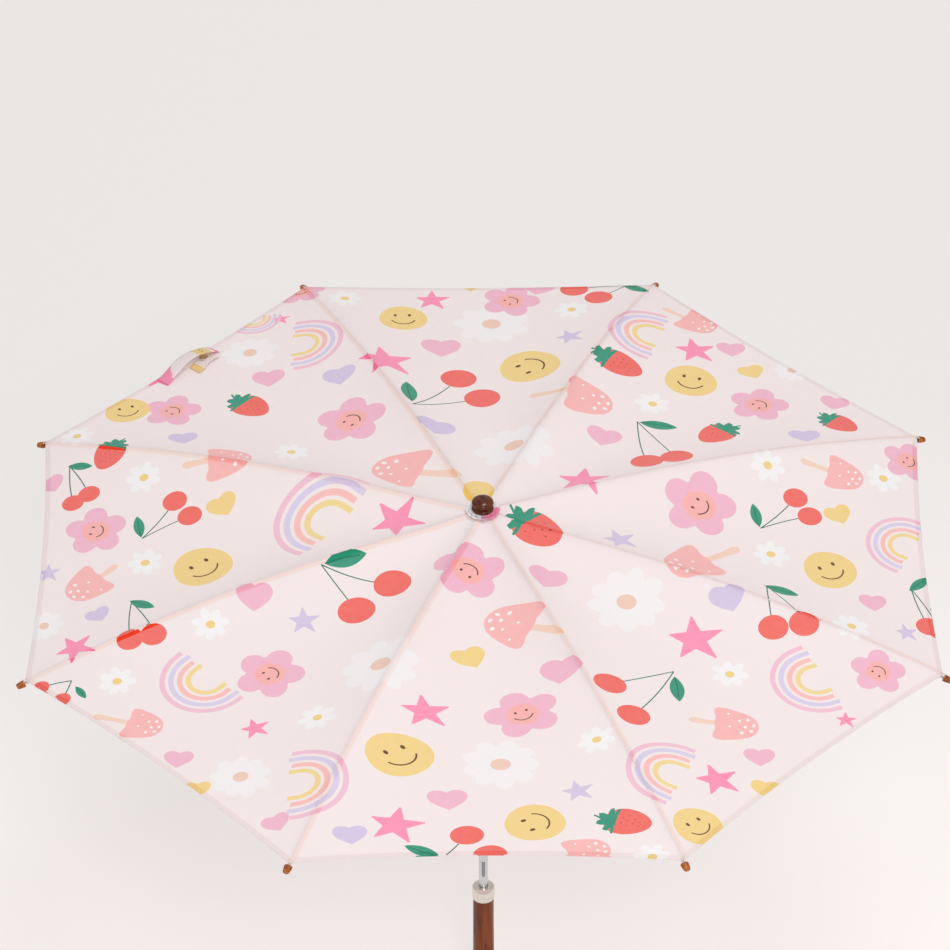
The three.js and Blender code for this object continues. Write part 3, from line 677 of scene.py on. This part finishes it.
def tube(name, path, radii, sides, material, lift=0.0):
    """A round bar along a path of 3-D points, closed at both ends."""
    points = []
    count = len(path)
    normal = None
    for k, p in enumerate(path):
        ahead = (Vector(path[min(k + 1, count - 1)]) - Vector(path[max(k - 1, 0)])).normalized()
        if normal is None:
            seed = Vector((0, 1, 0)) if abs(ahead.y) < 0.9 else Vector((1, 0, 0))
            normal = (seed - ahead * seed.dot(ahead)).normalized()
        normal = (normal - ahead * normal.dot(ahead)).normalized()
        other = ahead.cross(normal)
        for j in range(sides):
            t = 2 * math.pi * j / sides
            points.append(tuple(Vector(p) + (normal * math.cos(t) + other * math.sin(t)) * radii[k]))
    faces = grid_faces(count, sides, True)
    faces += [tuple(range(sides))[::-1], tuple(range((count - 1) * sides, count * sides))]
    return mesh_object(name, points, faces, material, 60, lift)


# ---- Canopy --------------------------------------------------------------------------
SEAM_STEP, HEM_STEPS = 5, 44
GRID_START, GRID_STEP, GRID_ROW, GRID_CLEAR, HEM_CLEAR = 14, 9, 7.83, 2.5, 3


def half_outline(turn, side):
    """The outline of a half panel in plan, counter-clockwise."""
    seam = [rib_frame(row, 0) for row in np.arange(CANOPY_HOLE, CANOPY_RADIUS, SEAM_STEP)]
    hem = [rib_frame(hem_row(k / HEM_STEPS), k / HEM_STEPS) for k in range(HEM_STEPS)]
    rows = np.arange(CANOPY_HOLE, hem_row(1), SEAM_STEP)
    crease = [rib_frame(row, 1) for row in [*rows, hem_row(1)]][::-1]
    outline = [(x, y * side) for x, y in seam + hem + crease]
    c, s = math.cos(turn), math.sin(turn)
    outline = [(float(x * c - y * s), float(x * s + y * c)) for x, y in outline]
    return outline if side > 0 else outline[::-1]


def inner_grid(turn, side):
    """Points inside a half panel in plan, clear of its edges."""
    points = []
    c, s = math.cos(turn), math.sin(turn)
    for i, x in enumerate(np.arange(GRID_START, CANOPY_RADIUS, GRID_ROW)):
        for y in np.arange(GRID_CLEAR + (i % 2) * GRID_STEP / 2, x * TAN_HALF, GRID_STEP):
            row = x + y * TAN_HALF
            across = (y / COS_HALF) / (row * SIN_HALF)
            clear = across < 1 - GRID_CLEAR / (row * SIN_HALF)
            if clear and row < hem_row(across) - HEM_CLEAR:
                points.append((float(x * c - y * side * s), float(x * s + y * side * c)))
    return points


def imprinted(outline, grid):
    """Triangulates an outline so that each motif's edge is an edge of the mesh."""
    coords = [Vector(p) for p in outline]
    faces, looks = [list(range(len(outline)))], ["cloth"]
    box = np.array(outline)
    low, high = box.min(0), box.max(0)
    for colour, points in PRINT:
        shape = np.array(points)
        if (shape.max(0) < low).any() or (shape.min(0) > high).any():
            continue
        faces.append(list(range(len(coords), len(coords) + len(points))))
        coords += [Vector(p) for p in points]
        looks.append(colour)
    coords += [Vector(p) for p in grid]
    points, _, triangles, _, _, sources = geometry.delaunay_2d_cdt(coords, [], faces, 1, 1e-3)
    kept = [(t, looks[max(ids)]) for t, ids in zip(triangles, sources) if 0 in ids]
    used = sorted({v for t, _ in kept for v in t})
    renumber = {v: k for k, v in enumerate(used)}
    return (np.array([points[v] for v in used], float),
            [[renumber[v] for v in t] for t, _ in kept], [look for _, look in kept])


def local_place(plan, turn, side):
    """Points in plan as x along the panel's rib and y beside it."""
    c, s = math.cos(turn), math.sin(turn)
    x = plan[:, 0] * c + plan[:, 1] * s
    y = (-plan[:, 0] * s + plan[:, 1] * c) * side
    return x, np.maximum(y, 0)


def cloth_normals(x, y, turn, side):
    """Normals of the curved cloth, so that its triangles shade as one smooth sheet."""
    step = 0.05
    dx = (cloth_height(x + step, y) - cloth_height(x - step, y)) / (2 * step)
    dy = (cloth_height(x, y + step) - cloth_height(x, y - step)) / (2 * step) * side
    c, s = math.cos(turn), math.sin(turn)
    normals = np.stack([-(dx * c - dy * s), -(dx * s + dy * c), np.ones_like(dx)], 1)
    return normals / np.linalg.norm(normals, axis=1)[:, None]


def vector_layer(mesh, name, columns):
    layer = mesh.attributes.new(name, "FLOAT_VECTOR", "POINT")
    layer.data.foreach_set("vector", np.stack(columns, 1).astype(np.float32).ravel())


def bend_from_seam(obj):
    """Bakes a piece's placement into its mesh."""
    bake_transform(obj)


def half_panel(number, half):
    turn, side = rib_turn(number), 1 if half == "b" else -1
    plan, triangles, looks = imprinted(half_outline(turn, side), inner_grid(turn, side))
    x, y = local_place(plan, turn, side)
    z = cloth_height(x, y)
    points = [(px, py, pz) for (px, py), pz in zip(plan, z)]
    obj = mesh_object(f"cloth_{number}{half}", points, triangles, CLOTH, 180, NOTCH_HEIGHT)
    coloured(obj, looks)
    row = x + y * TAN_HALF
    away = y / COS_HALF
    across = away / (row * SIN_HALF)
    from_hem = (hem_row(across) - row) * COS_HALF
    vector_layer(obj.data, "edges", (y, from_hem, np.full_like(y, side > 0)))
    vector_layer(obj.data, "weave", ((row * SIN_HALF - away) * side * MM, row * COS_HALF * MM,
                                     np.zeros_like(y)))
    obj.data.normals_split_custom_set_from_vertices(cloth_normals(x, y, turn, side).tolist())
    bend_from_seam(obj)
    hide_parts(f"canopy_{number}{half}")
    hem = folded_hem(number, half, turn, side)


def folded_hem(number, half, turn, side):
    """The hem's fold: round at the edge, with the turned-in layer under the panel."""
    section = ((0.0, 0.05), (-0.3, -0.1), (-0.42, -0.4), (-0.3, -0.7), (0.1, -0.85),
               (2.0, -0.72), (3.6, -0.55), (3.8, -0.33), (3.6, -0.12))
    points = []
    for k in range(HEM_STEPS + 1):
        across = k / HEM_STEPS
        for inward, up in section:
            x, y = rib_frame(hem_row(across) - inward / COS_HALF, across)
            points.append((x, y * side, float(cloth_height(x, y)) + up))
    faces = grid_faces(HEM_STEPS + 1, len(section))
    faces = faces if side > 0 else [f[::-1] for f in faces]
    points = turned_about_z(points, turn)
    obj = mesh_object(f"hem_{number}{half}", points, faces, TRIM, 80, NOTCH_HEIGHT)
    inside = section.index((2.0, -0.72))
    looks = []
    for k in range(HEM_STEPS):
        x, y, _ = points[k * len(section) + inside]
        looks += [print_at(x, y)] * (len(section) - 1)
    coloured(obj, looks)
    bend_from_seam(obj)
    return obj


for number in range(1, RIB_COUNT + 1):
    for half in "ab":
        half_panel(number, half)


RIDGE_HALF_WIDTH, RIDGE_RISE, RIDGE_SUNK, RIDGE_ROWS = 0.5, 0.26, 0.12, 150


def seam_ridge(number):
    """The narrow ridge of cloth along a seam, over a rib."""
    rows = np.linspace(2 * CANOPY_HOLE, CANOPY_RADIUS - RIDGE_HALF_WIDTH, RIDGE_ROWS)
    section = [(RIDGE_HALF_WIDTH * math.cos(t), RIDGE_RISE * math.sin(t))
               for t in np.linspace(0, math.pi, 7)]
    turn = rib_turn(number)
    points, looks = [], []
    for row in rows:
        base = float(cloth_height(row, 0.0))
        points += [(row, y, base - RIDGE_SUNK + up) for y, up in section]
        looks += [print_at(row * math.cos(turn), row * math.sin(turn))] * (len(section) - 1)
    faces = [f[::-1] for f in grid_faces(len(rows), len(section))]
    obj = mesh_object(f"seam_{number}", turned_about_z(points, turn), faces, TRIM, 80, NOTCH_HEIGHT)
    coloured(obj, looks[:len(faces)])
    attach(obj, f"rib_{number}")


for number in range(1, RIB_COUNT + 1):
    seam_ridge(number)


# ---- Rib tips and their threads ------------------------------------------------------
BEAD_SIDES, BEAD_FLATNESS = 28, 0.74


def bead(number):
    """A wooden tip in line with its rib's end, and the threads that sew the cloth to it."""
    turn = rib_turn(number)
    near = beside_rib(CHORD_LENGTH + 1, 0.0)
    far = beside_rib((RIB_END_RADIUS - RIB_HINGE_RADIUS) / math.cos(CHORD_SLOPE), 0.0)
    slope = math.atan2(far[1] - near[1], far[0] - near[0])
    profile = rounded([(1.5, 1.0), (1.9, 0.0), (3.1, 0.0), (3.5, 0.8), (3.4, 2.2), (3.0, 4.8),
                       (2.6, 6.5), (2.1, 7.05), (0.02, 7.1)], 4, 0.35)
    points = []
    for r, along in profile:
        for k in range(BEAD_SIDES):
            t = 2 * math.pi * k / BEAD_SIDES
            y, up = r * math.cos(t), r * math.sin(t) * BEAD_FLATNESS
            points.append((near[0] + along * math.cos(slope) - up * math.sin(slope), y,
                           near[1] + along * math.sin(slope) + up * math.cos(slope)))
    faces = grid_faces(len(profile), BEAD_SIDES, True)
    obj = mesh_object(f"bead_{number}", turned_about_z(points, turn), faces, BEAD, 60, NOTCH_HEIGHT)
    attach(obj, f"rib_{number}")
    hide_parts(f"rib_tip_{number}")
    for k, y in enumerate((-1.5, 0.0, 1.4)):
        rise = [(-3.2, 0.5), (-1.5, 1.1), (0.4, 1.6 - 0.3 * abs(y)), (1.6, 1.0), (2.0, -0.2)]
        path = turned_about_z([(CANOPY_RADIUS + dx, y * (1 - 0.1 * dx / 3),
                                float(cloth_height(CANOPY_RADIUS, 0.0)) + up - 0.9 * (dx > 0))
                               for dx, up in rise], turn)
        thread = tube(f"tip_thread_{number}_{k + 1}", path, [0.3] * len(path), 8, THREAD, NOTCH_HEIGHT)
        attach(thread, f"rib_{number}")


for number in range(1, RIB_COUNT + 1):
    bead(number)


# ---- Ferrule and rosettes ------------------------------------------------------------
BALL_MIDDLE, BALL_WIDE, BALL_TALL, BALL_NECK, BALL_TOP = 13.9, 9.1, 4.2, 8, 3


def ferrule():
    """A turned base ring under a flattened ball with a slightly flat top."""
    profile = [(4.4, 6.9), (8.4, 6.9), (9.1, 7.6), (9.1, 8.9), (8.4, 9.5), (7.4, 9.95), (7.5, 10.6)]
    profile = rounded(profile)
    start, end = math.acos(BALL_NECK / BALL_WIDE), math.acos(BALL_TOP / BALL_WIDE)
    for k in range(17):
        t = -start + (start + end) * k / 16
        profile.append((BALL_WIDE * math.cos(t), BALL_MIDDLE + BALL_TALL * math.sin(t)))
    top = BALL_MIDDLE + BALL_TALL * math.sin(end)
    profile += [(2.4, top - 0.03), (1.2, top - 0.12), (0.02, top - 0.15)]
    obj = lathe("ferrule_knob", profile, 72, FERRULE, 50)
    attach(obj, "stick")
    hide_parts("ferrule")


LAYER_GAP, PINKED_DEPTH = 0.75, 0.35


def rosette(name, node, inner, outer, low, rise, waves, swell, pieces):
    """A gathered ring of cloth with a waved, pinked edge, in layers."""
    rings, sides = 12, 144
    faces = grid_faces(rings, sides, True)
    for layer, (tone, shift, reach) in enumerate(pieces):
        points = []
        for i in range(rings):
            s = i / (rings - 1)
            for k in range(sides):
                t = 2 * math.pi * k / sides
                wave = math.sin(waves * t + shift + 0.7 * math.sin(3 * t + shift))
                notch = PINKED_DEPTH * (k % 4 < 2) * (i == rings - 1)
                r = inner + (outer * reach - inner) * s - notch
                z = low + layer * LAYER_GAP + rise * s**1.6 + swell * wave * s * s
                points.append((r * math.cos(t), r * math.sin(t), z))
        piece = name if layer == 0 else f"{name}_upper"
        obj = mesh_object(piece, points, faces, TRIM, 180, NOTCH_HEIGHT)
        coloured(obj, [tone(360 * (face[0] % sides) / sides) for face in faces])
        thick = obj.modifiers.new("thickness", "SOLIDIFY")
        thick.thickness, thick.offset = 0.3 * MM, 0.0
        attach(obj, "stick")
        if layer == 0:
            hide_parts(node)


def rosette_tone(azimuth):
    """The rosette is cut from printed cloth, so its colour changes round the stick."""
    if 283 < azimuth or azimuth < 4:
        return "hot_pink"
    return "petal" if 262 < azimuth else "white"


ferrule()
rosette("crown_rosette", "outer_rosette", 4.6, 14.4, 5.6, 1.7, 13, 0.55,
        ((rosette_tone, 0.0, 1.0), (rosette_tone, 1.9, 0.84)))
rosette("under_rosette", "inner_rosette", 4.6, 9.5, 3.1, 0.0, 9, 0.12,
        ((lambda azimuth: "cloth", 0.4, 1.0),))


# ---- Closing strap -------------------------------------------------------------------
STRAP_RIB, STRAP_FROM_HEM, STRAP_WIDTH, STRAP_LENGTH = 6, 16, 13, 84
STRAP_STEPS, STRAP_LANES, STRAP_TURNING_KNOT = 6, 11, 7


def strap():
    """A band sewn across the end of a crease: it arches up, turns and comes back to its snap."""
    row = CANOPY_RADIUS - STRAP_FROM_HEM / COS_HALF
    turn = rib_turn(STRAP_RIB) + HALF_ANGLE
    foot = Vector((row * COS_HALF, 0, float(cloth_height(*rib_frame(row, 1)))))
    drop = (CREASE_END - CREASE_START) / ((CANOPY_RADIUS - CANOPY_HOLE) * COS_HALF)
    outward = Vector((1, 0, drop)).normalized()
    along = Vector((0, -1, 0))
    raised = Vector((-drop, 0, 1)).normalized()
    knots = [(-30, -3, 0.9), (-26, -3, 1.4), (-17, -4, 4.2), (-5, -5, 7.6), (8, -5, 8.8), (19, -3, 7.6),
             (26, -1, 6.0), (28.5, 1, 4.4), (26, 2, 3.2), (17, 1.5, 2.2), (8, 4, 1.6), (0, 6, 1.0)]
    line = []
    for k in range(len(knots) - 1):
        a, b, c, d = (Vector(knots[min(max(k + i, 0), len(knots) - 1)]) for i in (-1, 0, 1, 2))
        for t in np.linspace(0, 1, STRAP_STEPS + 1)[:-1]:
            line.append(0.5 * ((2 * b) + (c - a) * t + (2 * a - 5 * b + 4 * c - d) * t**2
                               + (3 * b - a - 3 * c + d) * t**3))
    line.append(Vector(knots[-1]))
    turned = STRAP_TURNING_KNOT * STRAP_STEPS
    points, spans = [], []
    for k, p in enumerate(line):
        for j in range(STRAP_LANES):
            share = 2 * j / (STRAP_LANES - 1) - 1
            cup = 0.5 * (1 - share**2) if k < turned + 8 else 0.1
            inward = p.y + share * STRAP_WIDTH / 2 + 0.25 * math.sin(k * 0.45) * share
            at = foot + along * p.x - outward * inward + raised * (p.z + cup + 0.12 * p.z * share)
            points.append(tuple(at))
        spans.append(p.x)
    faces = grid_faces(len(line), STRAP_LANES)
    obj = mesh_object("strap", turned_about_z(points, turn), faces, TRIM, 180, NOTCH_HEIGHT)
    looks = []
    for k in range(len(faces)):
        i, j = divmod(k, STRAP_LANES - 1)
        s = spans[i]
        top = i < turned
        look = "cloth"
        if top and (s < -14 - j or s > 25):
            look = "hot_pink"
        elif top and 8 < s < 21:
            look = "brown" if 14 < s < 16.2 and j in (3, 6) else "yellow"
        elif not top and s < 7:
            look = "yellow"
        looks.append(look)
    coloured(obj, looks)
    thick = obj.modifiers.new("thickness", "SOLIDIFY")
    thick.thickness, thick.offset = 0.8 * MM, 0.0
    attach(obj, "panel_6b")
    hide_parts("closure_strap")


strap()


# ---- Handle --------------------------------------------------------------------------
GRIP_LENGTH, CROOK_RADIUS, CROOK_TAIL, HANDLE_RADIUS = 100, 30, 15, 9
GRIP_SWELL, SWELL_STEPS = 0.35, 60


def handle():
    """A straight grip that bends into a half circle and a short tail with a round end."""
    path = [(0, 0, z) for z in np.linspace(GRIP_LENGTH / 2, -GRIP_LENGTH / 2, 24)]
    for t in np.linspace(0, math.pi, 41)[1:]:
        path.append((CROOK_RADIUS * (1 - math.cos(t)), 0, -GRIP_LENGTH / 2 - CROOK_RADIUS * math.sin(t)))
    for z in np.linspace(0, CROOK_TAIL, 7)[1:]:
        path.append((2 * CROOK_RADIUS, 0, -GRIP_LENGTH / 2 + z))
    radii = [HANDLE_RADIUS + GRIP_SWELL * math.sin(math.pi * min(k / SWELL_STEPS, 1))
             for k in range(len(path))]
    end = -GRIP_LENGTH / 2 + CROOK_TAIL
    for t in np.linspace(0, math.pi / 2, 10)[1:]:
        path.append((2 * CROOK_RADIUS, 0, end + HANDLE_RADIUS * math.sin(t)))
        radii.append(max(HANDLE_RADIUS * math.cos(t), 0.05))
    obj = tube("crook_handle", path, radii, 48, HANDLE)
    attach(obj, "stick")
    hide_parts("handle")


handle()


# ---- CAD pieces that are shown as they are -------------------------------------------
def dress(node, material, bevel):
    """Gives a CAD piece its material, smooth shading and, unless bevel is 0, softened edges."""
    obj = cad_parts[node]
    obj.data.materials.clear()
    obj.data.materials.append(material)
    obj.data.shade_smooth()
    obj.data.set_sharp_from_angle(angle=math.radians(32))
    if bevel:
        edge = obj.modifiers.new("edges", "BEVEL")
        edge.width, edge.segments, edge.limit_method = bevel * MM, 2, "ANGLE"
        edge.angle_limit = math.radians(35)
        edge.harden_normals = True


for number in range(1, RIB_COUNT + 1):
    dress(f"rib_{number}", RIB_STEEL, 0.3)
    dress(f"stretcher_{number}", RIB_STEEL, 0.3)
for node, material, slot in (
    ("shaft_tube", STEEL, "shaft_steel"), ("top_notch", PLASTIC, "runner_plastic"),
    ("runner", PLASTIC, "runner_plastic"), ("notch_wire", WIRE, "wire_steel"),
    ("runner_wire", WIRE, "wire_steel"), ("notch_pin", WIRE, "wire_steel"),
    ("stop_pin", WIRE, "wire_steel"), ("top_catch_pin", WIRE, "wire_steel"),
    ("bottom_catch_pin", WIRE, "wire_steel"), ("top_catch", SPRING, "spring_steel"),
    ("bottom_catch", SPRING, "spring_steel"), ("handle_collar", COLLAR, "collar_metal"),
    ("strap_snap", SNAP, "snap_metal"),
):
    dress(node, material, 0.0 if "wire" in node else 0.12)


# ---- Floor, light and camera ---------------------------------------------------------
FLOOR_SIZE, FLOOR_GLOW = 20000, 0.53


def floor():
    """A wide sheet of paper under the handle, with painted light fall-off: its tone and glow are slightly
    darker behind the umbrella.
    """
    n = Nodes("floor_paper", Roughness=0.9, Specular_IOR_Level=0.1)
    away = n.add("ShaderNodeSeparateXYZ", {0: n.place()}).outputs[1]
    # Painted light fall-off: the paper's colour and its glow fade from bright at the front to darker
    # behind.
    depth = n.range(away, -0.4, 1.9, 0, 1)
    paper_painted_falloff = ((0.0, (198, 195, 194)), (0.55, (178, 175, 173)), (1.0, (180, 177, 175)))
    glow = ((0.0, (255, 249, 246)), (0.55, (238, 234, 231)), (1.0, (243, 239, 236)))
    n.link(n.ramp(depth, *paper_painted_falloff), "Base Color")
    n.link(n.ramp(depth, *glow), "Emission Color")
    n.shader.inputs["Emission Strength"].default_value = FLOOR_GLOW
    low, size = cad_low.z / MM - 0.5, FLOOR_SIZE
    corners = [(-size, -size, low), (size, -size, low), (size, size, low), (-size, size, low)]
    mesh_object("floor", corners, [(0, 1, 2, 3)], n.material)


def area_light(name, at, target, size, power):
    light = bpy.data.lights.new(name, "AREA")
    light.shape, light.size, light.energy = "DISK", size, power
    obj = bpy.data.objects.new(name, light)
    bpy.context.scene.collection.objects.link(obj)
    obj.location = at
    obj.rotation_mode = "QUATERNION"
    obj.rotation_quaternion = (Vector(target) - Vector(at)).to_track_quat("-Z", "Y")


floor()
area_light("key", (0.5, -0.1, 3.6), (0, 0, 0.4), 1.3, 27)
area_light("front", (0.45, -3.4, 3.65), (0, 0, 0.4), 0.8, 50)
world = bpy.data.worlds.new("studio")
world.use_nodes = True
background = world.node_tree.nodes["Background"].inputs
background["Color"].default_value = linear((255, 254, 254))
background["Strength"].default_value = 0.58
bpy.context.scene.world = world
bpy.context.scene.view_settings.view_transform = "Standard"

CAMERA_PLACE = (-0.0232, -3.5370, 3.3935)
CAMERA_TILT, CAMERA_ROLL, CAMERA_TURN = 50.9381, 0.1387, -0.3879
lens = bpy.data.cameras.new("camera")
lens.lens, lens.sensor_width = 211.1, 36
lens.clip_start, lens.clip_end = 0.1, 100
camera = bpy.data.objects.new("camera", lens)
bpy.context.scene.collection.objects.link(camera)
aim = Euler([math.radians(angle) for angle in (CAMERA_TILT, CAMERA_ROLL, CAMERA_TURN)])
camera.matrix_world = Matrix.Translation(CAMERA_PLACE) @ aim.to_matrix().to_4x4()
bpy.context.scene.camera = camera
